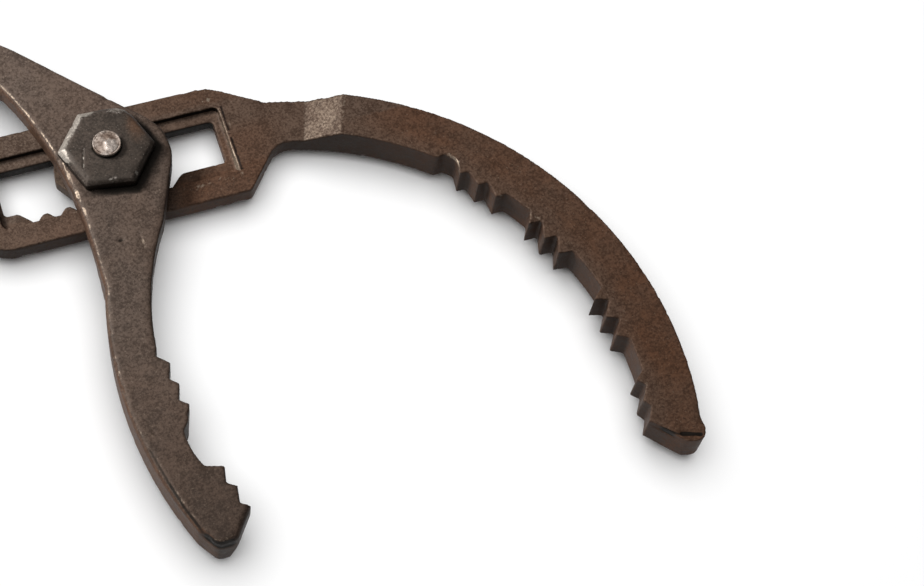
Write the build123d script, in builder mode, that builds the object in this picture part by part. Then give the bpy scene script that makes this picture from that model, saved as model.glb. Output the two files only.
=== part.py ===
from build123d import *
from math import cos, hypot, radians, sin, sqrt
import os

os.makedirs("parts", exist_ok=True)

# Slip-joint pipe wrench of the two-lever kind. Millimetres.
# X runs along the slot towards the jaws, Y across the frame towards the swing handle,
# Z up through the pivot. The origin is the pivot axis at the underside of the stud head.

# ---- heights in the stack, from the underside of the stud head ----
HEAD_T = 3.2            # hexagonal head of the pivot stud
FRAME_Z = 3.5           # underside of the slotted lever
FRAME_T = 5.0           # thickness of the slotted frame
LEDGE_T = 3.4           # what is left under the recess
JAW_T = 9.5             # full thickness of the slotted lever's jaw
WASHER_Z = 7.0          # underside of the guide washer, just above the ledge
WASHER_T = 1.4
LEVER_Z = 8.7           # underside of the swing lever where it crosses the frame
LEVER_T = 5.5
NUT_Z = 14.4
NUT_T = 3.2
STUD_TOP = 19.3         # peened end, proud of the nut
CLEAR = 120.0           # half length of the prisms that trim a piece: longer than any of them
FRAME_TOP = FRAME_Z + FRAME_T
LEDGE_TOP = FRAME_Z + LEDGE_T
LEVER_TOP = LEVER_Z + LEVER_T

# ---- pivot and slide ----
SHANK_R = 4.0
BORE_R = SHANK_R + 0.05
NECK_R = 3.0
PEEN_R = 3.25
HEAD_AF = 19.0          # hexagonal head under the frame
HEAD_CHAMFER = 0.7
NUT_AF = 19.5
NUT_TURN = 51.0         # angle of one corner of the hexagon
NUT_OFF = (-0.15, 0.25)     # the hexagon was forged slightly off its hole
NUT_CHAMFER = 0.8
PEEN_ROUND = 0.45
SEAT = 1.6              # drop of the pivot into a notch
SLOT_Y = -SEAT / 2      # middle line of the frame, recess and slot

# ---- slotted frame ----
FRAME_HALF = 14.75
FRAME_X0 = -34.0        # handle end of the frame
FRAME_CORNER = 8.5
HEEL_X = 30.3           # sharp lower corner before the neck
NECK_BEND_X = 27.6      # upper corner before the neck
RECESS_HALF = 9.05
RECESS_X0, RECESS_X1 = -27.4, 28.7
RECESS_CORNER = 1.4
SLOT_X0, SLOT_X1 = -26.3, 26.8
SLOT_TOP = 5.5
LAND_Y = -6.05          # plain land at both ends of the notched edge
PEAK_Y = -7.4
NOTCH_Y = -9.0
NOTCHES = 7
NOTCH_PITCH = 5.3
NOTCH_X0 = -19.7
NOTCH_FLAT = 0.45       # half width of a notch bottom; its flanks lie at 45 degrees
PEAK_ROUND = 0.7
SLOT_CORNER = 1.0

# ---- slide block and guide washer ----
BLOCK_R = 12.8          # rounded ends, about the pivot
BLOCK_TOP = SLOT_TOP - 0.2
BLOCK_LOW = -5.5
BLOCK_CUT = ((12.8, -0.3), (10.1, -4.3), (8.9, BLOCK_LOW))
BLOCK_H = LEDGE_TOP - 0.1 - HEAD_T
RACK_X0 = NOTCH_X0 + 3 * NOTCH_PITCH
RACK_TEETH = 3
RACK_DEPTH = 1.7
RACK_FLAT = 0.3
RACK_ROOTED = 1.0       # how far a rack tooth reaches into the block
WASHER_R = RECESS_HALF - 0.1
WASHER_HOLE = 2 * SHANK_R + 0.3     # width of the washer's slotted hole

# ---- curved jaw of the slotted lever ----
JAW_C = (23.8, -80.9)   # common centre of the back and the inner arc
JAW_BACK_R = 88.7
JAW_IN_R = 77.8
BACK_FROM, BACK_TO = 79.3, -12.5    # the back arc, in degrees about that centre
CREST_AT = 78.3         # where the neck's lower edge meets the inner arc
NOSE = ((110.1, -107.1), (105.1, -105.7))
NOSE_ROUNDS = (2.6, 2.0)
GRIP_C = (4.9, -86.8)   # the tooth tips lie on a flatter arc
GRIP_R = 94.3
TOOTH_GROUPS = (45.0, 29.5, 11.0, -5.6)
TOOTH_PITCH = 3.87
TOOTH_STEP = 1.2        # the short face of a tooth leans forward by this angle
TOOTH_LEAD = 1.4        # the first flank of a group is this short
TEETH = 3
POCKET_R = 79.4         # relief ahead of the first group
POCKET = (46.8, 48.9, 49.9)
POCKET_ROUND = 0.9
CREST_ROUND = 6.0
HEEL_ROUND = 1.2
NECK_ROUND = 9.0
BACK_ROUND = 14.0
RAMP_FROM, RAMP_TO = 73.3, 67.4

# ---- swing lever ----
BOSS_C, BOSS_R = (0.9, -1.4), 13.5
BOSS_MID, BOSS_END = 10.0, -22.0    # the boss is round as far as this angle
ARM_HEADING = 134.1     # direction of the arm's upper edge
ARM_REACH = 39.0
ARM_INSET = 0.55        # the arm's upper edge runs a little inside the boss
ARM_LOW = (-20.0, 24.0)
WAIST_X = -9.6
WAIST_TOP, WAIST_LOW = -20.0, -33.0
HIP = (7.6, -20.4)      # inner edge between the boss and the jaw
HIP_MID = (0.8, -34.9)
WAIST_END = (-2.5, -50.8)
LOWER_BACK_MID, LOWER_BACK_END = (-12.8, -60.0), (-5.6, -94.0)
LOWER_NOSE = ((-2.4, -98.9), (1.9, -98.9))
LOWER_NOSE_ROUND = 2.6
LOWER_C = (176.4, -38.5)
LOWER_TIP_R = 177.7
LOWER_ROOT_R = 179.4
LOWER_GROUPS = (185.3, 194.1)
LOWER_PITCH = 1.74
LOWER_FLANK = 1.15
LOWER_DIP = (-3.2, -52.4)
LOWER_HOLLOW = ((-0.6, -69.4), (-2.1, -71.3), (-1.8, -75.5), (-0.1, -80.5))
TEETH_FALL = 1.5        # the forging falls away below the teeth and the side of the nose
NOSE_FALL = 1.3
FALL_H = 5.0
FALL_OUT = 3.0          # how far the trimming wedge stands out of the forging
THICK_R0, THICK_R1 = 26.0, 32.0     # ramp under the jaw down to full thickness
EDGE_WORN = 1.5         # rolled outer edge of the swing lever
EDGE_X, EDGE_Y0, EDGE_Y1 = -4.0, -101.6, 22.0   # where that edge lies

# ---- handles: start, heading, change of heading, length, half width at the start ----
SLOTTED_HANDLE = ((-30.0, -0.4), 190.0, -12.0, 152.0, 7.2)
SWING_HANDLE = ((-14.5, 25.1), 131.2, 11.3, 167.0, 5.3)
HANDLE_END_HALF = 8.0
HANDLE_END_ROUND = 7.5
HANDLE_T = 9.5
HANDLE_ROUND = 2.4
SLOTTED_ROUND_X = -31.0     # the rims are rounded from here outwards
SLOTTED_THICK_X0, SLOTTED_THICK_X1 = -46.0, -55.0
SWING_THICK_R0, SWING_THICK_R1 = 46.0, 54.0


def polar(centre, radius, angle):
    a = radians(angle)
    return (centre[0] + radius * cos(a), centre[1] + radius * sin(a))


def grip_point(angle):
    """Point of the flatter grip arc seen from the jaw centre at this angle."""
    ux, uy = cos(radians(angle)), sin(radians(angle))
    dx, dy = JAW_C[0] - GRIP_C[0], JAW_C[1] - GRIP_C[1]
    b = dx * ux + dy * uy
    reach = -b + sqrt(b * b - dx * dx - dy * dy + GRIP_R * GRIP_R)
    return (JAW_C[0] + reach * ux, JAW_C[1] + reach * uy)


def near(vertices, spots, reach=0.3):
    return [v for v in vertices if any(hypot(v.X - x, v.Y - y) < reach for x, y in spots)]


def handle_outline(start, heading, turn, length, half0, half1):
    """Draw a bowed handle: an arc either side of its centre line, closed at both ends."""
    chord = radians(heading + turn / 2)
    ahead = (cos(chord), sin(chord))
    side = (-sin(chord), cos(chord))
    bow = -length * radians(turn) / 8
    stations = ((0, 0, half0), (length / 2, bow, (half0 + half1) / 2), (length, 0, half1))

    def edge(sign):
        return [(start[0] + s * ahead[0] + (b + sign * h) * side[0],
                 start[1] + s * ahead[1] + (b + sign * h) * side[1]) for s, b, h in stations]

    left, right = edge(1), edge(-1)
    ThreePointArc(*left)
    Line(left[2], right[2])
    ThreePointArc(*reversed(right))
    Line(right[0], left[0])


def jaw_teeth(start):
    """Draw the four groups of teeth from the nose back to the pocket; returns the last point."""
    here = start
    for group in reversed(TOOTH_GROUPS):
        for k in reversed(range(TEETH)):
            angle = group - k * TOOTH_PITCH
            tip = grip_point(angle)
            Line(here, tip)
            lead = TOOTH_LEAD if k == 0 else TOOTH_PITCH - TOOTH_STEP
            here = polar(JAW_C, JAW_IN_R, angle + lead)
            if k > 0 or group != TOOTH_GROUPS[0]:
                Line(tip, here)
        if group != TOOTH_GROUPS[0]:
            following = TOOTH_GROUPS[TOOTH_GROUPS.index(group) - 1]
            stop = following - (TEETH - 1) * TOOTH_PITCH - TOOTH_STEP
            middle = (group + TOOTH_LEAD + stop) / 2
            ThreePointArc(here, polar(JAW_C, JAW_IN_R, middle), polar(JAW_C, JAW_IN_R, stop))
            here = polar(JAW_C, JAW_IN_R, stop)
    return tip


# ================= slotted lever: handle, frame with its slot, curved jaw =================
with BuildPart() as slotted_handle:
    with BuildSketch(Plane.XY.offset(FRAME_Z)):
        with BuildLine():
            handle_outline(*SLOTTED_HANDLE, HANDLE_END_HALF)
        make_face()
    extrude(amount=HANDLE_T)
    fillet(slotted_handle.edges().filter_by(Axis.Z).sort_by(Axis.X)[:2], radius=HANDLE_END_ROUND)
    by_height = slotted_handle.faces().sort_by(Axis.Z)
    rims = by_height[0].edges() + by_height[-1].edges()
    fillet([e for e in rims if e.center().X < SLOTTED_ROUND_X], radius=HANDLE_ROUND)
    with BuildSketch(Plane.XZ):
        with BuildLine():
            Polyline(
                (0, FRAME_TOP), (SLOTTED_THICK_X0, FRAME_TOP), (SLOTTED_THICK_X1, FRAME_Z + HANDLE_T),
                (SLOTTED_THICK_X1, 2 * HANDLE_T), (0, 2 * HANDLE_T), close=True)
        make_face()
    extrude(amount=CLEAR, both=True, mode=Mode.SUBTRACT)

BACK_START = polar(JAW_C, JAW_BACK_R, BACK_FROM)
BACK_MID = polar(JAW_C, JAW_BACK_R, (BACK_FROM + BACK_TO) / 2)
BACK_END = polar(JAW_C, JAW_BACK_R, BACK_TO)
CREST = polar(JAW_C, JAW_IN_R, CREST_AT)
NECK_BEND = (NECK_BEND_X, SLOT_Y + FRAME_HALF)
HEEL = (HEEL_X, SLOT_Y - FRAME_HALF)
CORNERS = [(FRAME_X0, SLOT_Y + FRAME_HALF), (FRAME_X0, SLOT_Y - FRAME_HALF)]

with BuildPart() as slotted_lever:
    with BuildSketch(Plane.XY.offset(FRAME_Z)) as outline:
        with BuildLine():
            ThreePointArc(BACK_START, BACK_MID, BACK_END)
            Polyline(BACK_END, *NOSE)
            first_tip = jaw_teeth(NOSE[1])
            pocket = [polar(JAW_C, POCKET_R, a) for a in POCKET[:2]] + [polar(JAW_C, JAW_IN_R, POCKET[2])]
            Polyline(first_tip, *pocket)
            ThreePointArc(pocket[2], polar(JAW_C, JAW_IN_R, (POCKET[2] + CREST_AT) / 2), CREST)
            Polyline(CREST, HEEL, CORNERS[1], CORNERS[0], NECK_BEND, BACK_START)
        make_face()
        fillet(near(outline.vertices(), NOSE[:1]), radius=NOSE_ROUNDS[0])
        fillet(near(outline.vertices(), NOSE[1:]), radius=NOSE_ROUNDS[1])
        fillet(near(outline.vertices(), pocket[:2]), radius=POCKET_ROUND)
        fillet(near(outline.vertices(), [CREST]), radius=CREST_ROUND)
        fillet(near(outline.vertices(), [HEEL]), radius=HEEL_ROUND)
        fillet(near(outline.vertices(), [NECK_BEND]), radius=NECK_ROUND)
        fillet(near(outline.vertices(), [BACK_START]), radius=BACK_ROUND)
        fillet(near(outline.vertices(), CORNERS), radius=FRAME_CORNER)
    extrude(amount=JAW_T)
    # thin frame and neck, with a flat ramp up to the full thickness of the jaw
    ramp_mid = (RAMP_FROM + RAMP_TO) / 2
    ramp_r = (JAW_IN_R + JAW_BACK_R) / 2
    ramp_half = radians((RAMP_FROM - RAMP_TO) / 2) * ramp_r
    ramp_at = polar(JAW_C, ramp_r, ramp_mid)
    along = (sin(radians(ramp_mid)), -cos(radians(ramp_mid)), 0)
    across = (-cos(radians(ramp_mid)), -sin(radians(ramp_mid)), 0)
    with BuildSketch(Plane(origin=(*ramp_at, 0), x_dir=along, z_dir=across)):
        with BuildLine():
            Polyline(
                (-CLEAR, FRAME_TOP), (-ramp_half, FRAME_TOP), (ramp_half, FRAME_Z + JAW_T),
                (ramp_half, 2 * JAW_T), (-CLEAR, 2 * JAW_T), close=True)
        make_face()
    extrude(amount=CLEAR / 2, both=True, mode=Mode.SUBTRACT)

    # recess on the nut side
    with BuildSketch(Plane.XY.offset(LEDGE_TOP)):
        with Locations(((RECESS_X0 + RECESS_X1) / 2, SLOT_Y)):
            RectangleRounded(RECESS_X1 - RECESS_X0, 2 * RECESS_HALF, RECESS_CORNER)
    extrude(amount=FRAME_T, mode=Mode.SUBTRACT)
    # slot through the ledge, notched along its lower edge
    rise = PEAK_Y - NOTCH_Y
    end_rise = LAND_Y - NOTCH_Y
    last_x = NOTCH_X0 + (NOTCHES - 1) * NOTCH_PITCH
    notched = [(NOTCH_X0 - NOTCH_FLAT - end_rise, LAND_Y)]
    for i in range(NOTCHES):
        x = NOTCH_X0 + i * NOTCH_PITCH
        if i > 0:
            notched.append((x - NOTCH_FLAT - rise, PEAK_Y))
        notched += [(x - NOTCH_FLAT, NOTCH_Y), (x + NOTCH_FLAT, NOTCH_Y)]
        if i < NOTCHES - 1:
            notched.append((x + NOTCH_FLAT + rise, PEAK_Y))
    notched.append((last_x + NOTCH_FLAT + end_rise, LAND_Y))
    ends = [(SLOT_X1, LAND_Y), (SLOT_X1, SLOT_TOP), (SLOT_X0, SLOT_TOP), (SLOT_X0, LAND_Y)]
    with BuildSketch(Plane.XY.offset(FRAME_Z)) as slot:
        with BuildLine():
            Polyline(*notched, *ends, close=True)
        make_face()
        peaks = [p for p in notched if p[1] == PEAK_Y]
        fillet(near(slot.vertices(), peaks), radius=PEAK_ROUND)
        fillet(near(slot.vertices(), [notched[0], notched[-1], *ends]), radius=SLOT_CORNER)
    extrude(amount=FRAME_T, mode=Mode.SUBTRACT)
    add(slotted_handle.part)

# ================= swing lever: handle, boss on the pivot, lower jaw =================
ARM_TOUCH = polar(BOSS_C, BOSS_R - ARM_INSET, ARM_HEADING - 90)
ARM_TOP = polar(ARM_TOUCH, ARM_REACH, ARM_HEADING)

with BuildPart() as swing_handle:
    with BuildSketch(Plane.XY.offset(LEVER_TOP - HANDLE_T)):
        with BuildLine():
            handle_outline(*SWING_HANDLE, HANDLE_END_HALF)
        make_face()
    extrude(amount=HANDLE_T)
    fillet(swing_handle.edges().filter_by(Axis.Z).sort_by(Axis.Y)[-2:], radius=HANDLE_END_ROUND)
    by_height = swing_handle.faces().sort_by(Axis.Z)
    rims = by_height[0].edges() + by_height[-1].edges()
    fillet([e for e in rims if e.center().Y > ARM_TOP[1]], radius=HANDLE_ROUND)
    with Locations((0, 0, LEVER_TOP - HANDLE_T)):
        Cone(
            bottom_radius=SWING_THICK_R1, top_radius=SWING_THICK_R0, height=HANDLE_T - LEVER_T,
            align=(Align.CENTER, Align.CENTER, Align.MIN), mode=Mode.SUBTRACT)


def lower_teeth(first_angle, start):
    """Draw one group of teeth of the swing lever; returns the last tip."""
    here = start
    for k in range(TEETH):
        tip = polar(LOWER_C, LOWER_TIP_R, first_angle + k * LOWER_PITCH)
        Line(here, tip)
        if k < TEETH - 1:
            here = polar(LOWER_C, LOWER_ROOT_R, first_angle + k * LOWER_PITCH + LOWER_FLANK)
            Line(tip, here)
    return tip


with BuildPart() as swing_lever:
    with BuildSketch(Plane.XY.offset(LEVER_Z)) as swing_outline:
        with BuildLine():
            Polyline((WAIST_X, WAIST_LOW), (WAIST_X, WAIST_TOP))
            TangentArc((WAIST_X, WAIST_TOP), ARM_LOW, tangent=(0, 1))
            Polyline(ARM_LOW, ARM_TOP, ARM_TOUCH)
            shoulder = polar(BOSS_C, BOSS_R, BOSS_END)
            ThreePointArc(ARM_TOUCH, polar(BOSS_C, BOSS_R, BOSS_MID), shoulder)
            Line(shoulder, HIP)
            ThreePointArc(HIP, HIP_MID, WAIST_END)
            Line(WAIST_END, LOWER_DIP)
            upper_tip = lower_teeth(LOWER_GROUPS[0], LOWER_DIP)
            Polyline(upper_tip, *LOWER_HOLLOW[:2])
            ThreePointArc(*LOWER_HOLLOW[1:])
            last_tip = lower_teeth(LOWER_GROUPS[1], LOWER_HOLLOW[3])
            Polyline(last_tip, LOWER_NOSE[1], LOWER_NOSE[0], LOWER_BACK_END)
            ThreePointArc(LOWER_BACK_END, LOWER_BACK_MID, (WAIST_X, WAIST_LOW))
        make_face()
        fillet(near(swing_outline.vertices(), LOWER_NOSE), radius=LOWER_NOSE_ROUND)
    extrude(swing_outline.sketch, amount=FRAME_Z - LEVER_Z)
    with Locations((0, 0, FRAME_Z)):
        Cone(
            bottom_radius=THICK_R1, top_radius=THICK_R0, height=LEVER_Z - FRAME_Z,
            align=(Align.CENTER, Align.CENTER, Align.MIN), mode=Mode.SUBTRACT)
        Box(CLEAR, CLEAR, LEVER_Z - FRAME_Z, align=(Align.CENTER, Align.MIN, Align.MIN), mode=Mode.SUBTRACT)
    with Locations((*LOWER_C, FRAME_Z)):
        Cone(
            bottom_radius=LOWER_TIP_R + TEETH_FALL, top_radius=LOWER_TIP_R, height=FALL_H,
            align=(Align.CENTER, Align.CENTER, Align.MIN), mode=Mode.SUBTRACT)
    side_dx, side_dy = LOWER_NOSE[1][0] - last_tip[0], LOWER_NOSE[1][1] - last_tip[1]
    side_plane = Plane(
        origin=((LOWER_NOSE[1][0] + last_tip[0]) / 2, (LOWER_NOSE[1][1] + last_tip[1]) / 2, FRAME_Z),
        x_dir=(side_dy, -side_dx, 0), z_dir=(-side_dx, -side_dy, 0))
    with BuildSketch(side_plane) as side_fall:
        with BuildLine():
            Polyline((-FALL_OUT, 0), (NOSE_FALL, 0), (0, FALL_H), (-FALL_OUT, FALL_H), close=True)
        make_face()
    extrude(side_fall.sketch, amount=hypot(side_dx, side_dy), both=True, mode=Mode.SUBTRACT)
    extrude(swing_outline.sketch, amount=LEVER_T)
    top_edges = swing_lever.faces().sort_by(Axis.Z)[-1].edges()
    outer = [e for e in top_edges if e.center().X < EDGE_X and EDGE_Y0 < e.center().Y < EDGE_Y1]
    fillet(outer, radius=EDGE_WORN)
    add(swing_handle.part)
    Cylinder(radius=BORE_R, height=CLEAR, mode=Mode.SUBTRACT)

# ================= pivot group =================
with BuildPart() as pivot_stud:
    with BuildSketch(Plane.XY):
        RegularPolygon(radius=HEAD_AF / 2, side_count=6, major_radius=False, rotation=NUT_TURN)
    extrude(amount=HEAD_T)
    chamfer(pivot_stud.faces().sort_by(Axis.Z)[0].edges(), length=HEAD_CHAMFER)
    with BuildSketch(Plane.XY.offset(HEAD_T)):
        Circle(SHANK_R)
    extrude(amount=NUT_Z - HEAD_T)
    with BuildSketch(Plane.XY.offset(NUT_Z)):
        Circle(NECK_R)
    extrude(amount=NUT_T)
    with BuildSketch(Plane.XY.offset(NUT_Z + NUT_T)):
        Circle(PEEN_R)
    extrude(amount=STUD_TOP - NUT_Z - NUT_T)
    fillet(pivot_stud.faces().sort_by(Axis.Z)[-1].edges(), radius=PEEN_ROUND)

with BuildPart() as hex_nut:
    with BuildSketch(Plane.XY.offset(NUT_Z)):
        with Locations(NUT_OFF):
            RegularPolygon(radius=NUT_AF / 2, side_count=6, major_radius=False, rotation=NUT_TURN)
    extrude(amount=NUT_T)
    chamfer(hex_nut.faces().sort_by(Axis.Z)[-1].edges(), length=NUT_CHAMFER)
    with Locations((0, 0, NUT_Z + NUT_T / 2)):
        Cylinder(radius=NECK_R, height=NUT_T * 2, mode=Mode.SUBTRACT)

with BuildPart() as slide_block:
    with BuildSketch(Plane.XY.offset(HEAD_T)):
        Circle(BLOCK_R)
        with Locations((0, (BLOCK_TOP + BLOCK_LOW) / 2)):
            Rectangle(2 * BLOCK_R, BLOCK_TOP - BLOCK_LOW, mode=Mode.INTERSECT)
        for side in (-1, 1):
            with BuildLine():
                Polyline(*[(side * x, y) for x, y in BLOCK_CUT], (side * BLOCK_R * 2, BLOCK_LOW), close=True)
            make_face(mode=Mode.SUBTRACT)
        for k in range(RACK_TEETH):
            x = RACK_X0 + k * NOTCH_PITCH
            root = RACK_FLAT + RACK_DEPTH
            with BuildLine():
                Polyline(
                    (x - root, BLOCK_LOW), (x - RACK_FLAT, BLOCK_LOW - RACK_DEPTH),
                    (x + RACK_FLAT, BLOCK_LOW - RACK_DEPTH), (x + root, BLOCK_LOW),
                    (x, BLOCK_LOW + RACK_ROOTED), close=True)
            make_face()
    extrude(amount=BLOCK_H)
    Cylinder(radius=SHANK_R, height=CLEAR, mode=Mode.SUBTRACT)

with BuildPart() as guide_washer:
    with BuildSketch(Plane.XY.offset(WASHER_Z)):
        with Locations((0, SLOT_Y)):
            Circle(WASHER_R)
            SlotOverall(WASHER_HOLE + SEAT, WASHER_HOLE, rotation=90, mode=Mode.SUBTRACT)
    extrude(amount=WASHER_T)

for name, piece in (
        ("slotted_lever", slotted_lever), ("swing_lever", swing_lever), ("pivot_stud", pivot_stud),
        ("hex_nut", hex_nut), ("slide_block", slide_block), ("guide_washer", guide_washer)):
    piece.part.label = name
    export_step(piece.part, f"parts/{name}.step")
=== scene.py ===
import bmesh
import bpy
import numpy as np
from mathutils import Matrix, Vector, kdtree


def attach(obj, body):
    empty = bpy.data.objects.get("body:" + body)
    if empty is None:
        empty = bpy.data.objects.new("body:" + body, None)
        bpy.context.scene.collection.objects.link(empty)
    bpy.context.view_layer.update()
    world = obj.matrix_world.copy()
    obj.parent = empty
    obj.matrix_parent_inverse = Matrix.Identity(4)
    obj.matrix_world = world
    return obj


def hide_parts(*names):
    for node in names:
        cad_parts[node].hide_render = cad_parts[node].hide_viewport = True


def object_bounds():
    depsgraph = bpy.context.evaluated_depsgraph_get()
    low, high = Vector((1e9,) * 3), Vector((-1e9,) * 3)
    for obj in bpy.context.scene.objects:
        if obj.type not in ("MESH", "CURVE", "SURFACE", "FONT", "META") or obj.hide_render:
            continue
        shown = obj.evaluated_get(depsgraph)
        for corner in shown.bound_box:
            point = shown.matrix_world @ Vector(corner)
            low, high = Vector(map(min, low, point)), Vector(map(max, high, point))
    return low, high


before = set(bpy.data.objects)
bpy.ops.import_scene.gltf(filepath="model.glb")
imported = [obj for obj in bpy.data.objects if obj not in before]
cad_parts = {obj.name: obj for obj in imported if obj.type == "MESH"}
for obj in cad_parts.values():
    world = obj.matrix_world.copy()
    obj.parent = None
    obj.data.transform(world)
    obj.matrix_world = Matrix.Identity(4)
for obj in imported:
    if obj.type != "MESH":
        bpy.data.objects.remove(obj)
cad_box = [list(corner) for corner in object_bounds()]

# Slip-joint pipe wrench: forged levers, hexagon nut and hammered pivot stud.
# Sizes named here are millimetres in the frame of the model, and MM turns them into metres.
MM = 0.001

# Heights of the faces that carry marks.
FRAME_TOP, JAW_TOP, LEVER_TOP, NUT_TOP, STUD_TOP = 8.5, 13.0, 14.2, 17.6, 19.3


# ------------------------------------------------------------------ noise and mesh helpers
def lattice(cell, seed):
    """A fixed value in -1..1 for each whole-number cell."""
    c = cell.astype(np.int64)
    h = c[:, 0] * 374761393 + c[:, 1] * 668265263 + c[:, 2] * 1440662683 + seed * 974634777
    h = (h ^ (h >> 13)) * 1274126177
    h = (h ^ (h >> 16)) & 0xFFFFFF
    return h / float(0x7FFFFF) - 1.0


def lump(points, size, seed):
    """Smooth noise in -1..1 with features of about that size in mm."""
    q = points / size + 1000.0
    base = np.floor(q)
    f = q - base
    f = f * f * (3 - 2 * f)
    total = np.zeros(len(points))
    for corner in np.ndindex(2, 2, 2):
        k = np.array(corner)
        weight = np.prod(np.where(k, f, 1 - f), axis=1)
        total += weight * lattice(base + k, seed)
    return total


def lumps(points, size, seed, octaves=3):
    total, gain = np.zeros(len(points)), 1.0
    for i in range(octaves):
        total += gain * lump(points, size / 2**i, seed + i)
        gain *= 0.5
    return total / 1.6


def step(low, high, x):
    t = np.clip((x - low) / (high - low), 0, 1)
    return t * t * (3 - 2 * t)


def blob(points, centre, radius):
    """1 at the centre, falling smoothly to 0 at twice the radius; radius may differ per axis."""
    d = np.linalg.norm((points - np.array(centre)) / np.array(radius), axis=1)
    return 1 - step(0.3, 1.7, d)


def segment(points, a, b, width):
    """1 on the line from a to b, falling to 0 at that distance from it."""
    a, b = np.array(a, float), np.array(b, float)
    run = b - a
    t = np.clip((points - a) @ run / (run @ run), 0, 1)
    d = np.linalg.norm(points - a - t[:, None] * run, axis=1)
    return 1 - step(0.25 * width, width, d)


def line(points, ends, width):
    """1 on the broken line through these x, y points, at any height, falling to 0 at that distance."""
    flat = points * (1, 1, 0)
    return np.max([segment(flat, (*a, 0), (*b, 0), width) for a, b in zip(ends, ends[1:])], axis=0)


def rubbed_spots(wear_and_highlight, points, spots, rough):
    """Adds spots, each given by its centre, its size along x, y, z and its strength."""
    for centre, size, strength in spots:
        wear_and_highlight = np.maximum(wear_and_highlight, strength * blob(points, centre, size) * rough)
    return wear_and_highlight


def outward(x, y):
    """The level directions away from the pivot's axis; they shrink to nothing on the axis."""
    return np.stack([x, y, 0 * x], axis=1) / np.maximum(np.hypot(x, y), 1)[:, None]


def is_wall(n):
    """1 on upright walls, 0 on faces that look well up or down."""
    return 1 - step(0.1, 0.6, np.abs(n[:, 2]))


def facing(n):
    """1 on faces that look up or down, 0.35 on walls: how much of the forging's unevenness they show."""
    return 0.35 + 0.65 * step(0.3, 0.8, np.abs(n[:, 2]))


def read(mesh, what, name, width=3):
    data = np.zeros(len(what) * width, np.float32)
    what.foreach_get(name, data)
    return data.reshape(-1, width).astype(float)


def relax(mesh, rounds, weight, back):
    """Take the steps off the edges: each vertex moves towards the mean of its neighbours and partly back."""
    co = read(mesh, mesh.vertices, "co")
    pairs = np.zeros(len(mesh.edges) * 2, np.int32)
    mesh.edges.foreach_get("vertices", pairs)
    a, b = pairs[0::2], pairs[1::2]
    count = np.bincount(a, minlength=len(co)) + np.bincount(b, minlength=len(co))
    count = np.maximum(count, 1)[:, None]
    w = (0.5 * (weight(co) if callable(weight) else weight * np.ones(len(co))))[:, None]
    for way in (1.0, back) * rounds:
        total = np.stack(
            [np.bincount(a, co[b, i], len(co)) + np.bincount(b, co[a, i], len(co)) for i in range(3)],
            axis=1,
        )
        co += way * w * (total / count - co)
    mesh.vertices.foreach_set("co", co.astype(np.float32).ravel())
    mesh.update()


SHARP = 0.3         # angle between two faces, in radians, from which their edge counts
EDGE_STEP = 0.5     # spacing of the points on such an edge
FAR = 9.0           # distances beyond this all count alike


def edge_trees(bm):
    """The sharp outer edges and the sharp inner corners of the CAD solid, as two trees of points."""
    found = {1: [], -1: []}
    for e in bm.edges:
        if len(e.link_faces) != 2:
            continue
        angle = e.calc_face_angle_signed(0.0)
        if abs(angle) < SHARP:
            continue
        a, b = (v.co for v in e.verts)
        n = max(1, int((b - a).length / EDGE_STEP))
        found[1 if angle > 0 else -1] += [a.lerp(b, (i + 0.5) / n) for i in range(n)]
    trees = []
    for points in (found[1], found[-1]):
        tree = kdtree.KDTree(len(points))
        for i, p in enumerate(points):
            tree.insert(p, i)
        tree.balance()
        trees.append(tree if points else None)
    return trees


def distance(tree, co):
    if tree is None:
        return np.full(len(co), FAR)
    return np.array([min(tree.find(Vector(p))[2], FAR) for p in co])


PIECES = []
BACK = -0.92        # the second half of a smoothing round undoes this share of the first


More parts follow.
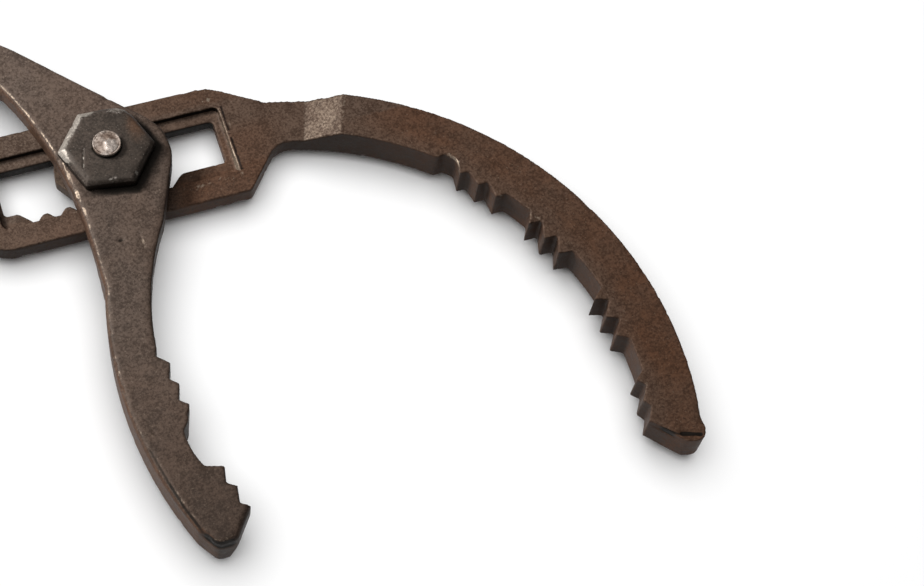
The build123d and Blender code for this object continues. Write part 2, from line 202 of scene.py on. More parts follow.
def forge(name, node, body, material, voxel, rounds, weight, shape, tint, budget=190_000,
          soft=0, softly=1.0, proud=0.3):
    """A closed, softly rounded mesh made from a CAD solid, with its surface marks in geometry.

    rounds of smoothing take the voxel steps off; soft more rounds also round it where softly is 1.
    The result stays in the box of the solid, but its flat faces may stand proud by that much.
    """
    bm = bmesh.new()
    bm.from_mesh(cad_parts[node].data)
    bmesh.ops.remove_doubles(bm, verts=bm.verts, dist=1e-6)
    bm.transform(Matrix.Scale(1 / MM, 4))
    bm.normal_update()
    solid = np.array([v.co for v in bm.verts])
    lowest, highest = solid.min(axis=0) - (0, 0, proud), solid.max(axis=0) + (0, 0, proud)
    ridges, grooves = edge_trees(bm)
    mesh = bpy.data.meshes.new(name + "_solid")
    bm.to_mesh(mesh)
    bm.free()
    maker = bpy.data.objects.new(name + "_maker", mesh)
    bpy.context.scene.collection.objects.link(maker)
    remesh = maker.modifiers.new("remesh", "REMESH")
    remesh.mode = "VOXEL"
    remesh.voxel_size = voxel * 1.0
    mesh = evaluated(maker)
    relax(mesh, rounds, weight, BACK)
    relax(mesh, soft, softly, 1.0)
    co = read(mesh, mesh.vertices, "co")
    normals = read(mesh, mesh.vertices, "normal")
    near = distance(ridges, co), distance(grooves, co)
    co = np.clip(co + shape(co, normals, *near), lowest, highest)
    mesh.vertices.foreach_set("co", co.astype(np.float32).ravel())
    mesh.update()
    triangles = 2 * len(mesh.polygons)
    maker.modifiers.clear()
    maker.data = mesh
    if triangles > budget:
        thin = maker.modifiers.new("thin", "DECIMATE")
        thin.ratio = budget / triangles
        mesh = evaluated(maker)
    bpy.data.objects.remove(maker)
    mesh.name = name
    co = read(mesh, mesh.vertices, "co")
    normals = read(mesh, mesh.vertices, "normal")
    near = distance(ridges, co), distance(grooves, co)
    for key, values in tint(co, normals, *near).items():
        layer = mesh.attributes.new(key, "FLOAT", "POINT")
        layer.data.foreach_set("value", np.clip(values, 0, 1).astype(np.float32))
    mesh.transform(Matrix.Scale(MM, 4))
    mesh.shade_smooth()
    mesh.materials.clear()
    mesh.materials.append(material)
    piece = bpy.data.objects.new(name, mesh)
    bpy.context.scene.collection.objects.link(piece)
    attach(piece, body)
    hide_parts(node)
    PIECES.append(piece)
    return piece


def evaluated(obj):
    graph = bpy.context.evaluated_depsgraph_get()
    return bpy.data.meshes.new_from_object(obj.evaluated_get(graph))


# ------------------------------------------------------------------ materials
LIGHT = 2.0     # how much brighter the studio is than the light the colours below are given for


def shade(r, g, b):
    """A colour as seen in ordinary 0..255 values, turned into the share of light that it gives back."""
    return tuple(((c / 255 + 0.055) / 1.055) ** 2.4 / LIGHT for c in (r, g, b)) + (1.0,)


WARM_SHINE = (1.0, 0.88, 0.78, 1)


class Steel:
    """Builds one node material from small steps. Lengths in its textures are millimetres."""

    def __init__(self, name):
        self.material = bpy.data.materials.new(name)
        self.material.use_nodes = True
        self.tree = self.material.node_tree
        self.tree.nodes.clear()
        self.out = self.tree.nodes.new("ShaderNodeOutputMaterial")
        self.shader = self.tree.nodes.new("ShaderNodeBsdfPrincipled")
        self.join(self.shader.outputs[0], self.out.inputs[0])
        place = self.tree.nodes.new("ShaderNodeTexCoord")
        grow = self.tree.nodes.new("ShaderNodeMapping")
        grow.inputs["Scale"].default_value = (1 / MM, 1 / MM, 1 / MM)
        self.join(place.outputs["Object"], grow.inputs["Vector"])
        self.where = grow.outputs[0]

    def join(self, a, b):
        self.tree.links.new(a, b)

    def feed(self, socket, value):
        if isinstance(value, bpy.types.NodeSocket):
            self.join(value, socket)
        else:
            socket.default_value = value

    def noise(self, size, detail=3.0, rough=0.6, stretch=None):
        node = self.tree.nodes.new("ShaderNodeTexNoise")
        node.inputs["Scale"].default_value = 1 / size
        node.inputs["Detail"].default_value = detail
        node.inputs["Roughness"].default_value = rough
        where = self.where
        if stretch:
            warp = self.tree.nodes.new("ShaderNodeMapping")
            warp.inputs["Scale"].default_value = stretch
            self.join(where, warp.inputs["Vector"])
            where = warp.outputs[0]
        self.join(where, node.inputs["Vector"])
        return node.outputs["Fac"]

    def math(self, how, a, b=0.0, clamp=False):
        node = self.tree.nodes.new("ShaderNodeMath")
        node.operation = how
        node.use_clamp = clamp
        self.feed(node.inputs[0], a)
        self.feed(node.inputs[1], b)
        return node.outputs[0]

    def add(self, a, b):
        return self.math("ADD", a, b)

    def times(self, a, b):
        return self.math("MULTIPLY", a, b)

    def about(self, value, share):
        """The noise value moved to swing about 0, times that share."""
        return self.times(self.math("SUBTRACT", value, 0.5), share)

    def spread(self, value, low, high, to_low=0.0, to_high=1.0):
        node = self.tree.nodes.new("ShaderNodeMapRange")
        node.interpolation_type = "SMOOTHSTEP"
        self.feed(node.inputs["Value"], value)
        for key, number in (("From Min", low), ("From Max", high), ("To Min", to_low), ("To Max", to_high)):
            node.inputs[key].default_value = number
        return node.outputs["Result"]

    def mix(self, fac, a, b, how="MIX"):
        node = self.tree.nodes.new("ShaderNodeMix")
        node.data_type = "RGBA"
        node.blend_type = how
        self.feed(node.inputs["Factor"], fac)
        self.feed(node.inputs[6], a)
        self.feed(node.inputs[7], b)
        return node.outputs[2]

    def mark(self, name):
        node = self.tree.nodes.new("ShaderNodeAttribute")
        node.attribute_name = name
        return node.outputs["Fac"]

    def finish(self, colour, roughness, metallic, height, depth, specular):
        self.feed(self.shader.inputs["Base Color"], colour)
        self.feed(self.shader.inputs["Roughness"], roughness)
        self.feed(self.shader.inputs["Metallic"], metallic)
        self.shader.inputs["Specular IOR Level"].default_value = specular
        self.shader.inputs["Specular Tint"].default_value = WARM_SHINE
        bump = self.tree.nodes.new("ShaderNodeBump")
        bump.inputs["Strength"].default_value = 1.0
        bump.inputs["Distance"].default_value = depth * MM
        self.join(height, bump.inputs["Height"])
        self.join(bump.outputs[0], self.shader.inputs["Normal"])
        return self.material


def dim(colour, share):
    return tuple(share * c for c in colour[:3]) + (1.0,)


# the colour that walls and far edges are mixed towards as painted shade; the dirt colour below also carries
# painted shade
SHADE_COLOUR = shade(26, 19, 15)
DIRT_AND_SHADE_COLOUR = shade(22, 18, 15)


def forged(name, dark, light, brown, bright, depth=0.05, specular=0.12, shade_colour=SHADE_COLOUR, flecks=0.45, smooth=0.42):
    """Scaled, oiled forging steel: speckled brown-grey, browner in patches, bright on worn metal and where
    highlights are painted.

    depth is that of the fine relief in mm, flecks the strength of the small bright specks and
    smooth the roughness of the smoothest spots. The meshes carry four marks from 0 to 1: one for worn metal
    and painted highlights, one for rust, one for dirt and painted shade, and one for painted shade and
    darker tone, which mixes in the shade colour.
    """
    s = Steel(name)
    cloud = s.noise(22.0, 3, 0.6)
    mottle = s.noise(3.2, 4, 0.65)
    speck = s.noise(0.6, 4, 0.75)
    grain = s.noise(0.28, 2, 0.6)

    # speckled scale, mixed towards the painted shade colour on walls and far edges, and where darker tone is
    # marked
    tone = s.add(s.times(mottle, 0.3), s.times(speck, 0.7))
    colour = s.mix(s.spread(tone, 0.4, 0.6), dark, light)
    colour = s.mix(s.mark("painted_shade_and_tone"), colour, shade_colour)

    # brown patches
    clouds = s.spread(s.add(cloud, s.times(mottle, 0.5)), 0.5, 0.9, 0.55, 1.0)
    russet = s.mix(s.spread(tone, 0.38, 0.62), dim(brown, 0.62), dim(brown, 1.35))
    colour = s.mix(s.times(s.mark("rust"), clouds), colour, russet)

    # small bright and black specks
    fleck = s.spread(s.noise(0.4, 2, 0.5), 0.64, 0.74)
    fleck = s.times(fleck, s.math("SUBTRACT", 1.0, s.mark("painted_shade_and_tone"), clamp=True))
    colour = s.mix(s.times(fleck, flecks), colour, bright)
    black = s.spread(s.noise(1.1, 3, 0.6), 0.62, 0.72, 0.0, 0.5)
    colour = s.mix(black, colour, dim(dark, 0.35))

    # worn metal and painted highlights, then dirt and painted shade over all of it
    worn_and_highlit = s.spread(s.add(s.mark("wear_and_highlight"), s.about(speck, 0.9)), 0.38, 0.78)
    metal = s.mix(s.spread(grain, 0.3, 0.7), bright, dim(bright, 0.6))
    colour = s.mix(worn_and_highlit, colour, metal)
    dirt_and_shade_share = s.spread(s.add(s.mark("dirt_and_shade"), s.about(mottle, 0.5)), 0.3, 0.8)
    colour = s.mix(dirt_and_shade_share, colour, DIRT_AND_SHADE_COLOUR)

    uneven = s.add(s.times(speck, 0.6), s.times(mottle, 0.4))
    rough = s.spread(uneven, 0.3, 0.7, smooth, smooth + 0.26)
    rough = s.math("SUBTRACT", rough, s.times(worn_and_highlit, 0.12))
    height = s.add(s.times(speck, 0.7), s.times(grain, 0.35))
    height = s.add(height, s.times(s.noise(1.9, 3, 0.6), 0.9))
    return s.finish(colour, rough, s.times(worn_and_highlit, 0.55), height, depth, specular)


SLOTTED = forged("slotted_forging", shade(71, 56, 47), shade(107, 91, 80), shade(94, 65, 48),
                 shade(176, 158, 140), depth=0.06, flecks=0.22)
SWING = forged("swing_forging", shade(77, 67, 61), shade(116, 104, 96), shade(96, 70, 54),
               shade(178, 160, 142), depth=0.06, flecks=0.35)
# the nut's walls and shaded side are mixed towards a near-black painted shade
NUT = forged("nut_steel", shade(48, 43, 39), shade(82, 74, 68), shade(86, 62, 46),
             shade(205, 196, 186), depth=0.03, specular=0.25, shade_colour=shade(9, 8, 7), flecks=0.3, smooth=0.46)
STUD = forged("stud_steel", shade(104, 88, 78), shade(182, 164, 152), shade(92, 70, 56),
              shade(222, 208, 198), depth=0.10, specular=0.4)
BLOCK = forged("block_steel", shade(62, 50, 42), shade(100, 84, 72), shade(84, 60, 44),
               shade(170, 154, 138))
WASHER = forged("washer_steel", shade(70, 64, 60), shade(110, 102, 96), shade(90, 66, 48),
                shade(180, 168, 156), depth=0.03)


# ------------------------------------------------------------------ slotted lever
JAW_C = np.array((23.8, -80.9))     # centre of the curved jaw
JAW_IN = 77.8                       # radius of its inner arc
FRAME_MID = -0.8                    # middle line of the frame
HALF_LEDGE = 9.0                    # the recess reaches this far to both sides of it
LIP_X = 28.8                        # jaw end of the recess


def about_jaw(co):
    d = co[:, :2] - JAW_C
    return np.hypot(d[:, 0], d[:, 1]), np.degrees(np.arctan2(d[:, 1], d[:, 0]))


def slotted_weight(co):
    """The teeth keep more of their sharpness."""
    r, angle = about_jaw(co)
    teeth = (r < JAW_IN + 0.6) & (r > 70) & (angle < 52) & (angle > -20) & (co[:, 0] > 40)
    return np.where(teeth, 0.45, 1.0)


def slotted_soft(co):
    """The handle is smoother and rounder than the head."""
    return 1 - step(-58, -44, co[:, 0])


def nose_seam(co):
    """The forging seam that runs along the nose just inside its lower edge."""
    fine = line(co, ((98.5, -99.2), (103.7, -103.6)), 0.5)
    wide = line(co, ((104.4, -103.7), (108.6, -105.1)), 0.85) * (0.85 + 0.2 * lump(co, 1.6, 93))
    return np.clip(np.maximum(0.7 * fine, wide), 0, 1) * (co[:, 2] > 11)


def slotted_shape(co, n, ridge, groove):
    uneven = 0.09 * lumps(co, 16, 3) + 0.035 * lumps(co, 3.0, 7)
    wavy = facing(n) * uneven * (1 - 0.5 * slotted_soft(co))
    skin = 0.02 * lump(co, 0.9, 11)
    # little chips along the edges of the head
    chip = step(0.45, 0.8, lump(co, 2.2, 21)) * (1 - step(0.2, 1.1, ridge)) * (co[:, 0] > -40)
    return n * (wavy + skin - 0.22 * chip - 0.25 * nose_seam(co))[:, None]


# Rubbed spots about the jaw end of the recess: centre, size along x, y, z, strength.
FRAME_SPOTS = (
    ((26.7, 10.5, FRAME_TOP), (1.3, 0.8, 2), 0.8),
    ((28.9, -10.8, FRAME_TOP), (0.8, 1.6, 2), 0.7),
    ((24.4, 8.4, FRAME_TOP), (1.0, 0.5, 2), 0.6),
    ((19.5, -11.4, FRAME_TOP), (4.6, 0.8, 2), 0.5),
    ((30.2, 2.4, FRAME_TOP), (0.6, 1.5, 2), 0.6),
)
# Stretches of the jaw's inner edge that shine: from, to, strength.
JAW_GLINTS = (
    ((75.1, -20.9), (77.1, -21.5), 0.5),
    ((77.1, -21.5), (78.2, -24.0), 0.75),
    ((78.2, -24.0), (77.7, -27.6), 0.65),
    ((84.1, -34.2), (85.3, -35.4), 0.6),
    ((90.1, -41.7), (91.7, -43.4), 0.6),
    ((55.0, -9.3), (64.9, -14.1), 0.42),
    ((71.1, -18.7), (74.2, -21.0), 0.45),
)


def frame_scratches(co):
    """A row of short scratches on the lower bar of the frame."""
    found = np.zeros(len(co))
    for k in range(9):
        a = np.array((14.5 + 1.5 * k, -11.6 - 0.5 * (k % 3) + 0.1 * k, FRAME_TOP))
        found = np.maximum(found, segment(co, a, a + (0.9, 0.7 - 0.4 * (k % 2), 0), 0.42))
    return found


def slotted_tint(co, n, ridge, groove):
    r, angle = about_jaw(co)
    x, y, z = co.T
    up = step(0.6, 0.95, n[:, 2])
    wall = is_wall(n)

    # brown on the jaw, most of all towards its nose, and on the bars at the jaw end of the slot
    jaw = step(50, 75, x) * (y < -6)
    in_slot = step(-1, 4, y) * (1 - step(9, 10, y))
    bar = step(9, 16, x) * (1 - step(33, 45, x)) * (1 - in_slot)
    low = y < -8
    patchy = 0.5 + 0.5 * lumps(co, 26, 31)
    rust = 0.08 + 0.2 * step(-12, 6, x) + 0.7 * jaw * (0.6 + 0.5 * patchy)
    rust += (0.55 + 0.3 * low) * bar * patchy
    rust += 0.32 * low * step(-48, -36, x) * (1 - step(5, 12, x))
    rust += 0.45 * blob(co * (1, 1, 0), (109.0, -76.0, 0), (6.0, 11.0, 1))
    rust -= 0.35 * jaw * (1 - step(0.5, 5, r - JAW_IN))

    # edges, and the upper bar on the handle side
    wear_and_highlight = 0.5 * (1 - step(0.25, 1.0, ridge)) * (0.55 + 0.6 * lumps(co, 5, 41))
    wear_and_highlight = np.maximum(wear_and_highlight, 0.34 * (1 - step(0, 8, x)) * (y > 0) * up * (x > -60))
    # the ground ramp between the neck and the jaw
    ramp = (angle < 73.6) & (angle > 67.0) & (z > FRAME_TOP - 0.4) & (r > JAW_IN - 2) & (n[:, 2] > 0.5)
    wear_and_highlight = np.where(ramp, 0.5 + 0.10 * lumps(co, 4, 43), wear_and_highlight)
    # painted highlight on the lip wall at the jaw end of the recess, where it faces the key lamp, and a worn
    # ledge beside it
    beside = (np.abs(y - FRAME_MID) < HALF_LEDGE) * (z > 6.0)
    bright = beside * (1 - step(0.2, 0.6, np.abs(x - LIP_X)))
    wear_and_highlight = np.maximum(wear_and_highlight, bright * (0.62 + 0.4 * lumps(co, 2.5, 45)))
    wear_and_highlight = np.maximum(wear_and_highlight, 0.34 * beside * (np.abs(x - LIP_X + 1.3) < 0.8))
    # spots, scratches and glints
    wear_and_highlight = rubbed_spots(wear_and_highlight, co, FRAME_SPOTS, 0.8 + 0.7 * lump(co, 0.8, 47))
    wear_and_highlight = np.maximum(wear_and_highlight, 0.55 * frame_scratches(co))
    for a, b, strength in JAW_GLINTS:
        glint = line(co, (a, b), 0.7) * (z > JAW_TOP - 1.2)
        wear_and_highlight = np.maximum(wear_and_highlight, strength * glint * (0.8 + 0.4 * lump(co, 0.8, 48)))

    # darker along the inner corners; painted shade on the recess walls, most on those facing -y, and on the
    # far edges that face +x and +y; a dark seam on the nose and a dark line just beyond the recess lip
    inside = (np.abs(y - FRAME_MID) < 10) & (x > -28) & (x < 29.5)
    shaded = wall * step(0.2, 0.7, -n[:, 1])
    away = step(0.3, 0.7, 0.45 * n[:, 0] + 0.9 * n[:, 1]) * step(-45, -36, x)
    dirt_and_shade = 0.42 * (1 - step(0.2, 1.4, groove)) + inside * (0.3 * wall + 0.9 * shaded) + 0.5 * away
    dirt_and_shade = np.maximum(dirt_and_shade, np.clip(1.1 * nose_seam(co), 0, 1))
    dirt_and_shade = np.maximum(dirt_and_shade, 0.8 * (1 - step(0.15, 0.45, np.abs(x - LIP_X - 0.7))) * beside)
    # painted shade: walls, the recess walls facing -y and the far edges are mixed towards the shade colour
    painted_shade_and_tone = 0.8 * wall + 0.2 * shaded + 0.5 * away
    return {"wear_and_highlight": wear_and_highlight, "rust": rust, "dirt_and_shade": dirt_and_shade, "painted_shade_and_tone": painted_shade_and_tone}


forge("slotted_lever_forging", "slotted_lever", "slotted_side", SLOTTED,
      0.34, 4, slotted_weight, slotted_shape, slotted_tint, soft=40, softly=slotted_soft)


# ------------------------------------------------------------------ swing lever
BORE = 4.16                 # radius of the bore: a little more than the CAD's, to stay clear of the stud
NUT_TURN = 51.0             # angle of one corner of the nut
NUT_HALF = 9.75             # from its middle to a side
NUT_OFF = (-0.15, 0.25)     # its middle from the pivot's axis


def nut_reach(x, y):
    """How far a point lies out from the nut's middle, measured square to the nearest side."""
    turn = np.radians(NUT_TURN) + np.radians((30, 90, 150))
    x, y = x - NUT_OFF[0], y - NUT_OFF[1]
    return np.max([np.abs(x * np.cos(a) + y * np.sin(a)) for a in turn], axis=0)


def swing_weight(co):
    """The teeth keep more of their sharpness."""
    teeth = (co[:, 0] > -3.0) & (co[:, 1] < -50)
    return np.where(teeth, 0.45, 1.0)


def swing_soft(co):
    """The handle is smoother and rounder than the head."""
    return step(32, 44, co[:, 1])


def near_tip(y):
    return 1 - step(-96.5, -94.0, y)


def tip_scoop(co):
    """The worn hollow right under the top edge of the tip, ending above a lower rim."""
    x, y, z = co.T
    wobble = 0.35 * lump(co, 3, 91)
    band = step(10.4, 11.6, z + wobble) * (1 - step(13.5, 14.1, z))
    return band * near_tip(y) * (1 - step(0.5, 2.5, x))


def edge_gully(co):
    """A thin dark gully just inside the rolled edge of the lower half of the jaw."""
    ends = ((-10.3, -74.0), (-8.6, -82.0), (-6.9, -88.5), (-5.0, -93.8), (-3.9, -97.2))
    return line(co, ends, 0.55) * (co[:, 2] > 11.5) * (0.8 + 0.3 * lump(co, 4, 57))


def rough_scale(co):
    """Pitted patches on the jaw."""
    patch = blob(co, (-9.0, -66.0, 14), (3.2, 8.0, 3)) + 0.8 * blob(co, (-6.0, -90.0, 14), (4.5, 6.0, 3))
    return step(0.15, 0.75, lumps(co, 1.7, 51, 2)) * np.clip(patch, 0, 1)


def single_pit(co):
    return blob(co, (-3.0, -22.7, LEVER_TOP), (0.8, 0.45, 0.8))


def swing_shape(co, n, ridge, groove):
    x, y, z = co.T
    uneven = 0.10 * lumps(co, 15, 5) + 0.04 * lumps(co, 3.2, 9)
    wavy = facing(n) * uneven * (1 - 0.5 * swing_soft(co))
    skin = 0.022 * lump(co, 0.9, 13)
    # little chips along the edges of the head
    chip = step(0.5, 0.85, lump(co, 2.0, 23)) * (1 - step(0.2, 1.1, ridge)) * (y < 30)
    pits = 0.2 * rough_scale(co) * (n[:, 2] > 0.6) + 0.35 * single_pit(co)
    scratch = 0.1 * segment(co, (1.3, -22.0, LEVER_TOP), (1.9, -27.2, LEVER_TOP), 0.5)
    # the tip is scooped out behind its rim, and a gully runs inside the rolled edge
    hollows = 0.3 * tip_scoop(co) + 0.22 * edge_gully(co)
    marks = wavy + skin - 0.22 * chip - pits - scratch - hollows
    # the bore stays clear of the stud
    ring = np.hypot(x, y)
    clear = outward(x, y) * np.maximum(BORE - ring, 0)[:, None]
    return n * (marks * (ring > BORE + 0.6))[:, None] + clear


LEVER_SPOTS = (
    ((9.5, 4.5, LEVER_TOP), (1.6, 4.5, 2), 0.45),
    ((1.7, -25.0, LEVER_TOP), (0.5, 2.6, 2), 0.6),
)


def swing_tint(co, n, ridge, groove):
    x, y, z = co.T
    wall = is_wall(n)

    # brown patches, beside the nut and on the side towards the handles
    rust = 0.12 + 0.35 * (0.5 + 0.5 * lumps(co, 22, 33))
    beside_nut = blob(co, (8.8, 4.5, LEVER_TOP), (3.5, 5.0, 3)) * (0.6 + 0.5 * lump(co, 2, 61))
    brown_side = step(0.3, 0.6, -n[:, 0]) * (1 - step(0.66, 0.84, n[:, 2]))
    rust = np.max([rust, 0.8 * beside_nut, 0.9 * brown_side], axis=0)

    # edges: the rolled edge towards the handles is partly worn and partly a painted highlight where it faces
    # the key lamp, in a broken line
    wear_and_highlight = 0.35 * (1 - step(0.2, 0.9, ridge)) * (0.5 + 0.6 * lumps(co, 4, 49))
    rolled = step(0.1, 0.25, -n[:, 0]) * step(0.74, 0.86, n[:, 2]) * (1 - step(0.955, 0.99, n[:, 2]))
    shine = 0.40 + 0.19 * step(-45, 5, y) + 0.3 * lumps(co, 2.2, 53) + 0.15 * lump(co, 0.7, 59)
    wear_and_highlight = np.maximum(wear_and_highlight, rolled * np.minimum(shine, 0.66))
    wear_and_highlight = rubbed_spots(wear_and_highlight, co, LEVER_SPOTS, 0.8 + 0.5 * lump(co, 0.9, 55))
    tip_rim = line(co, ((-2.7, -97.3), (-1.0, -98.1), (1.4, -97.6)), 0.5) * (z > 12)
    wear_and_highlight = np.maximum(wear_and_highlight, 0.5 * tip_rim)

    # oily dirt around the nut, with a painted shadow of the nut on its lower right side, and painted shade
    # on the far edges and along the right-hand edges of the head
    lower_right = step(-4, 7, 0.75 * x - 0.66 * y)
    oil_and_nut_shadow = (1 - step(0.6, 3.4, nut_reach(x, y) - NUT_HALF)) * (0.35 + 0.65 * lower_right) * (z > 13)
    away = step(0.3, 0.7, 0.6 * n[:, 0] + 0.8 * n[:, 1]) * step(-60, -45, y) * (1 - step(28, 38, y))
    lee = ((x > -4.0) | (y <= -45)) & (y < 6) & (y > -50) & (z > 12)
    away = np.maximum(away, 0.8 * lee * (1 - step(0.3, 2.4, ridge)))
    hollows = np.maximum(0.85 * np.clip(1.3 * tip_scoop(co), 0, 1), 0.8 * edge_gully(co))
    dirt_and_shade = np.max([0.8 * single_pit(co), 0.5 * rough_scale(co), hollows, 0.85 * oil_and_nut_shadow, 0.5 * away], axis=0)

    # painted shade on the walls, less on the low rim of the tip, and on the far edges; darker towards the
    # jaw tip and a little darker on the head than on the handle
    rim = wall * near_tip(y) * (z < 11)
    painted_shade_and_tone = 0.45 * step(45, 100, -y) + (0.7 - 0.7 * rim) * wall + 0.5 * away
    painted_shade_and_tone += 0.14 * (1 - step(0, 28, y))
    return {"wear_and_highlight": wear_and_highlight, "rust": rust, "dirt_and_shade": dirt_and_shade, "painted_shade_and_tone": painted_shade_and_tone}


forge("swing_lever_forging", "swing_lever", "swing_side", SWING,
      0.34, 4, swing_weight, swing_shape, swing_tint, soft=40, softly=swing_soft)


# ------------------------------------------------------------------ nut, stud, block, washer
NUT_BOTTOM = 14.4
NUT_SCRATCH = ((-5.4, 0.6, NUT_TOP), (-6.6, -4.0, NUT_TOP))
NUT_DENTS = ((-0.9, -8.5, NUT_TOP), (5.0, -8.6, NUT_TOP))


def nut_left(x, y):
    """The side of the nut towards the handles and the key lamp, less the one beside it: its rim is worn down
    and carries a painted highlight.
    """
    return np.maximum(step(3, 9, -0.777 * x + 0.629 * y), 0.3 * step(6, 9, -0.934 * x - 0.358 * y))


def nut_shape(co, n, ridge, groove):
    x, y, z = co.T
    # the rim is rubbed down most on the side towards the handles
    rim = (1 - step(0.0, 2.4, NUT_HALF - nut_reach(x, y))) * step(NUT_BOTTOM + 0.6, NUT_TOP, z)
    drop = (0.12 + 0.75 * nut_left(x, y)) * rim
    # one side was forged fuller than the others, and the corner beside it is worn round
    flat = co * (1, 1, 0)
    full = 0.35 * blob(flat, (2.6, 10.3, 0), (4.0, 2.0, 1)) - 0.5 * blob(flat, (7.2, 9.0, 0), (1.6, 1.6, 1))
    chip = step(0.5, 0.8, lump(co, 1.6, 63)) * (1 - step(0.2, 1.2, ridge))
    dents = blob(co, NUT_DENTS[0], (0.7, 0.5, 1)) + blob(co, NUT_DENTS[1], (0.8, 0.6, 1))
    marks = 0.03 * lumps(co, 5, 61) - 0.15 * chip - 0.12 * segment(co, *NUT_SCRATCH, 0.35) - 0.12 * dents
    return n * marks[:, None] + outward(x, y) * full[:, None] - drop[:, None] * np.array((0, 0, 1))


NUT_SPOTS = (
    (NUT_DENTS[0], (1.2, 0.7, 1), 0.75),
    (NUT_DENTS[1], (1.0, 0.8, 1), 0.75),
)


def nut_tint(co, n, ridge, groove):
    x, y, z = co.T
    rim = (1 - step(0.0, 3.6, NUT_HALF - nut_reach(x, y))) * step(0.3, 0.6, n[:, 2])
    # painted highlight on the rim towards the key lamp, drawn as bright worn metal
    wear_and_highlight = 1.15 * rim * nut_left(x, y) * (0.85 + 0.3 * lumps(co, 2.5, 87)) + 0.08 * lump(co, 2, 65)
    full_side = step(7.2, 9.2, 0.34 * x + 0.94 * y) * step(-1, 3, x) * step(0.3, 0.8, n[:, 2])
    wear_and_highlight = np.maximum(wear_and_highlight, 0.5 * full_side * (0.9 + 0.4 * lump(co, 1.2, 89)))
    wear_and_highlight = np.maximum(wear_and_highlight, 0.8 * segment(co, *NUT_SCRATCH, 0.34) * (0.6 + 0.8 * lump(co, 0.6, 67)))
    wear_and_highlight = rubbed_spots(wear_and_highlight, co, NUT_SPOTS, 0.8 + 0.5 * lump(co, 0.8, 69))
    rust = 0.9 * blob(co, (7.6, 3.4, NUT_TOP), (1.8, 3.6, 2)) * (0.7 + 0.5 * lump(co, 1.3, 66)) + 0.12
    # painted shadow of the proud stud end round its foot and painted shade on the walls and underside;
    # darker tone in patches and painted shade on the side away from the key lamp
    dirt_and_shade = 0.75 * (1 - step(3.3, 4.0, np.hypot(x, y))) * (z > 16) + 0.35 * (n[:, 2] < 0.2)
    right = step(-5, 9, 0.75 * x - 0.66 * y)
    painted_shade_and_tone = 1.0 * (n[:, 2] < 0.4) + 0.22 * (0.5 + 0.5 * lumps(co, 7, 85)) + 0.25 * right
    return {"wear_and_highlight": wear_and_highlight, "rust": rust, "dirt_and_shade": dirt_and_shade, "painted_shade_and_tone": painted_shade_and_tone}


forge("hex_nut_worn", "hex_nut", "pivot_group", NUT,
      0.16, 6, 1.0, nut_shape, nut_tint, 90_000, soft=12, proud=0)


def hammer_marks(co):
    return lumps(co * (1, 1, 0.3), 1.5, 71, 2)


def stud_shape(co, n, ridge, groove):
    x, y, z = co.T
    crown = -0.2 * step(1.2, 3.3, np.hypot(x, y))
    hammered = (0.3 * hammer_marks(co) - 0.22 + crown) * step(0.3, 0.7, n[:, 2])
    return n * np.where(z > STUD_TOP - 0.9, hammered, 0.02 * lumps(co, 4, 73))[:, None]


def stud_tint(co, n, ridge, groove):
    z = co[:, 2]
    end = step(STUD_TOP - 1.3, STUD_TOP - 0.7, z)
    facets = hammer_marks(co)
    head = (z < 3.3) & (n[:, 2] < -0.3)
    wear_and_highlight = np.maximum(end * (0.46 + 0.7 * facets), 0.3 * head * (0.6 + 0.6 * lump(co, 3, 75)))
    rust = np.maximum(1.0 - end, 0.8 * end * (1 - step(-0.5, 0.1, facets)))
    # painted shade on the stud's side just above the nut; darker on the head; below the hammered end it is
    # mixed towards the shade colour
    dirt_and_shade = np.maximum(0.8 * (1 - end) * (z > 16), 0.35 * (z < 4))
    return {"wear_and_highlight": wear_and_highlight, "rust": rust, "dirt_and_shade": dirt_and_shade, "painted_shade_and_tone": 0.8 * (1 - end)}


forge("pivot_stud_peened", "pivot_stud", "pivot_group", STUD,
      0.17, 3, 1.0, stud_shape, stud_tint, 90_000, proud=0)


def plain_shape(co, n, ridge, groove):
    chip = step(0.5, 0.8, lump(co, 1.6, 79)) * (1 - step(0.2, 1.0, ridge))
    return n * (0.02 * lumps(co, 4, 77) - 0.08 * chip)[:, None]


def plain_tint(co, n, ridge, groove):
    wear_and_highlight = 0.55 * (1 - step(0.2, 0.9, ridge)) * (0.6 + 0.6 * lump(co, 2.5, 81))
    rust = 0.35 + 0.3 * lump(co, 6, 83)
    return {"wear_and_highlight": wear_and_highlight, "rust": rust, "dirt_and_shade": 0.3 * (n[:, 2] > 0.8), "painted_shade_and_tone": 0 * wear_and_highlight}


forge("slide_block_worn", "slide_block", "pivot_group", BLOCK,
      0.2, 4, 1.0, plain_shape, plain_tint, 60_000, proud=0)
forge("guide_washer_worn", "guide_washer", "slide", WASHER,
      0.2, 3, 1.0, plain_shape, plain_tint, 40_000, proud=0)


# ------------------------------------------------------------------ floor, light, camera
def floor_material():
    material = bpy.data.materials.new("floor_white")
    material.use_nodes = True
    shader = material.node_tree.nodes["Principled BSDF"]
    shader.inputs["Base Color"].default_value = (0.88, 0.88, 0.88, 1)
    shader.inputs["Roughness"].default_value = 0.9
    shader.inputs["Specular IOR Level"].default_value = 0.1
    return material


FLOOR_RADIUS = 4.0      # in metres, as all places and sizes from here on
FLOOR_GAP = 0.0002

bm = bmesh.new()
bmesh.ops.create_circle(bm, cap_ends=True, segments=96, radius=FLOOR_RADIUS)
floor_mesh = bpy.data.meshes.new("floor")
bm.to_mesh(floor_mesh)
bm.free()
floor_mesh.materials.append(floor_material())
floor = bpy.data.objects.new("floor", floor_mesh)
bpy.context.scene.collection.objects.link(floor)
floor.location.z = cad_box[0][2] - FLOOR_GAP


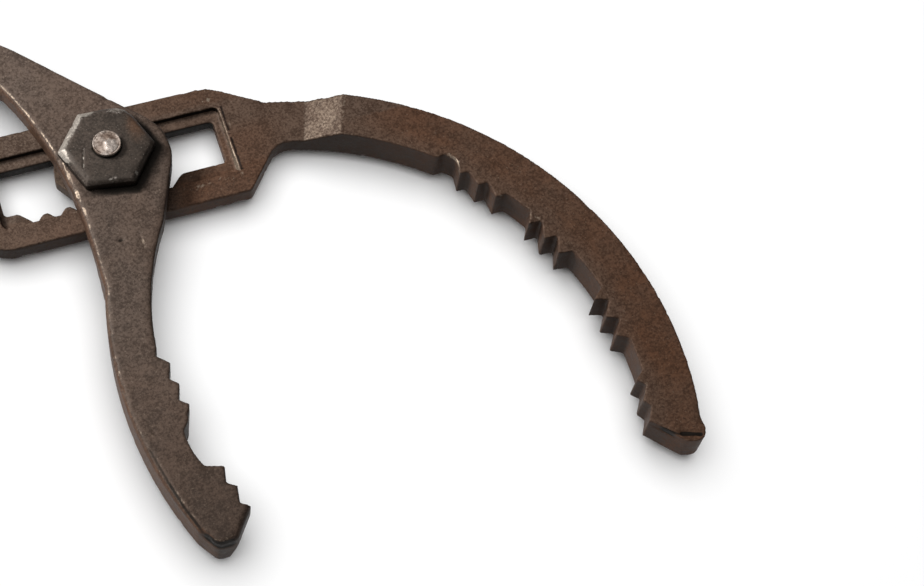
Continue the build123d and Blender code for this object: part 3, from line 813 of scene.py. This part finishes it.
def lamp(name, at, towards, size, power, colour=(1, 1, 1)):
    light = bpy.data.lights.new(name, "AREA")
    light.shape = "DISK"
    light.size = size
    light.energy = power
    light.color = colour
    obj = bpy.data.objects.new(name, light)
    bpy.context.scene.collection.objects.link(obj)
    obj.location = at
    obj.rotation_euler = (Vector(towards) - Vector(at)).to_track_quat("-Z", "Y").to_euler()
    return obj


def only_for(light, group, objects):
    """The lamp lights these objects and nothing else."""
    light.light_linking.receiver_collection = bpy.data.collections.new(group)
    for obj in objects:
        light.light_linking.receiver_collection.objects.link(obj)


# A warm key from the handle side and a broad fill for the tool, and a lamp that whitens the floor.
middle = (0.0, -0.02, 0.0)
key = lamp("key", (-0.42, 0.27, 0.42), middle, 0.24, 8.6, (1.0, 0.985, 0.965))
fill = lamp("fill", (-0.16, -0.02, 0.85), middle, 0.6, 3.6)
overhead = lamp("overhead", (-0.05, 0.10, 1.1), middle, 1.6, 20.5)
only_for(key, "lit_by_key", PIECES)
only_for(fill, "lit_by_fill", PIECES)
only_for(overhead, "lit_by_overhead", [floor])

world = bpy.data.worlds.new("studio")
bpy.context.scene.world = world
world.use_nodes = True
world.node_tree.nodes["Background"].inputs["Color"].default_value = (1, 1, 1, 1)
world.node_tree.nodes["Background"].inputs["Strength"].default_value = 0.10

scene = bpy.context.scene
scene.view_settings.view_transform = "Standard"
scene.view_settings.look = "None"

CAMERA_AT = (-0.044673, -0.239264, 0.454734)
CAMERA_RIGHT = (0.93975, -0.32531, 0.10506)
CAMERA_AHEAD = (0.22931, 0.37190, -0.89950)

camera_data = bpy.data.cameras.new("camera")
camera_data.sensor_width = 36.0
camera_data.lens = 83.3
camera_data.clip_start = 0.01
camera_data.clip_end = 20
camera = bpy.data.objects.new("camera", camera_data)
scene.collection.objects.link(camera)
ahead = Vector(CAMERA_AHEAD).normalized()
up = Vector(CAMERA_RIGHT).cross(ahead).normalized()
turn = Matrix((ahead.cross(up), up, -ahead)).transposed().to_4x4()
camera.matrix_world = Matrix.Translation(CAMERA_AT) @ turn
scene.camera = camera
